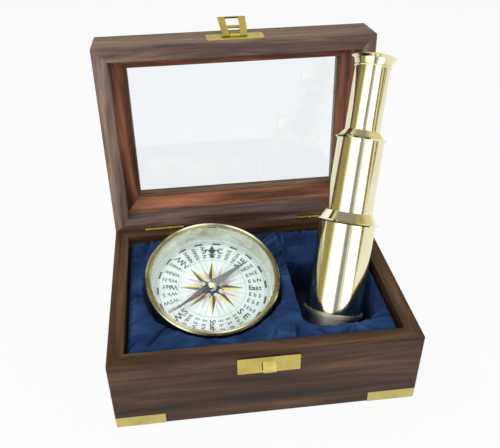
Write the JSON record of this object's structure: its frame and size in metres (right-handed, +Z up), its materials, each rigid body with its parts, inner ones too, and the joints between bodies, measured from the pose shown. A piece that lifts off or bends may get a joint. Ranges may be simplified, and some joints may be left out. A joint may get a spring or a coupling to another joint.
{
  "type": "nautical instrument box",
  "caption": "Wooden instrument box with a glazed hinged lid, a snap latch and a velvet lining that holds a tilted compass and an extending brass telescope.",
  "frame": {"origin": "centre of the underside of the base, on the surface that the box stands on", "axes": "+Z up, +Y towards the hinges, +X to the right seen from the front"},
  "size_m": [0.1456, 0.1354, 0.1448],
  "materials": {
    "dark_wood": "satin oiled",
    "bead_wood": "satin oiled",
    "brass_fittings": "polished",
    "compass_brass": "polished",
    "polished_brass": "mirror polished",
    "blue_velvet": "velvet pile",
    "clear_pane": "clear",
    "lens_glass": "clear",
    "dial_white": "matte printed",
    "needle_steel": "blued"
  },
  "bodies": {
    "base": {"base_front_wall": "dark_wood", "base_back_wall": "dark_wood", "base_left_wall": "dark_wood", "base_right_wall": "dark_wood", "base_floor": "dark_wood", "velvet_lining": "blue_velvet", "corner_strap_front_left": "brass_fittings", "corner_strap_front_right": "brass_fittings", "corner_strap_rear_left": "brass_fittings", "corner_strap_rear_right": "brass_fittings", "hinge_base_leaf_left": "brass_fittings", "hinge_base_leaf_right": "brass_fittings", "catch_plate": "brass_fittings"},
    "lid": {"lid_front_wall": "dark_wood", "lid_back_wall": "dark_wood", "lid_left_wall": "dark_wood", "lid_right_wall": "dark_wood", "lid_top_front_rail": "dark_wood", "lid_top_back_rail": "dark_wood", "lid_top_left_rail": "dark_wood", "lid_top_right_rail": "dark_wood", "lid_glass": "clear_pane", "glass_bead_front": "bead_wood", "glass_bead_back": "bead_wood", "glass_bead_left": "bead_wood", "glass_bead_right": "bead_wood", "hinge_lid_leaf_left": "brass_fittings", "hinge_lid_leaf_right": "brass_fittings", "latch_plate": "brass_fittings"},
    "hasp": {"latch_hasp": "brass_fittings"},
    "compass": {"compass_case": "compass_brass", "compass_bezel": "compass_brass", "compass_glass": "clear_pane", "compass_dial": "dial_white", "needle_pivot": "compass_brass"},
    "needle": {"compass_needle": "needle_steel", "needle_cap": "compass_brass"},
    "telescope": {"telescope_barrel": "polished_brass", "objective_cell": "polished_brass", "objective_lens": "lens_glass"},
    "draw_1": {"draw_1_tube": "polished_brass"},
    "draw_2": {"draw_2_tube": "polished_brass", "eye_cup": "polished_brass", "eye_lens": "lens_glass"}
  },
  "joints": [
    {"name": "lid_hinge", "type": "hinge", "parent": "base", "child": "lid", "pos_m": [0, 0.0501, 0.0388], "axis": [1, 0, 0], "range_deg": [0, 93.7]},
    {"name": "telescope_take_out", "type": "slide", "parent": "base", "child": "telescope", "axis": [0, -0.309, 0.9511], "range_m": [0, 0.3]},
    {"name": "hasp_swing", "type": "hinge", "parent": "lid", "child": "hasp", "pos_m": [0, 0.06341, 0.1408], "axis": [1, 0, 0], "range_deg": [-10, 164.3]},
    {"name": "compass_lift", "type": "slide", "parent": "base", "child": "compass", "axis": [0.0471, -0.302, 0.9521], "range_m": [0, 0.06]},
    {"name": "needle_spin", "type": "hinge", "parent": "compass", "child": "needle", "pos_m": [-0.0199, -0.0014, 0.0439], "axis": [0.0471, -0.302, 0.9521], "continuous": true},
    {"name": "draw_1_slide", "type": "slide", "parent": "telescope", "child": "draw_1", "axis": [0.213, 0.4527, 0.8659], "range_m": [-0.0349, 0]},
    {"name": "draw_2_slide", "type": "slide", "parent": "draw_1", "child": "draw_2", "axis": [0.213, 0.4527, 0.8659], "range_m": [-0.0299, 0]}
  ],
  "couplings": [
    {"joint": "telescope_take_out", "follows": "lid_hinge", "m_per_rad": 0.18344}
  ]
}
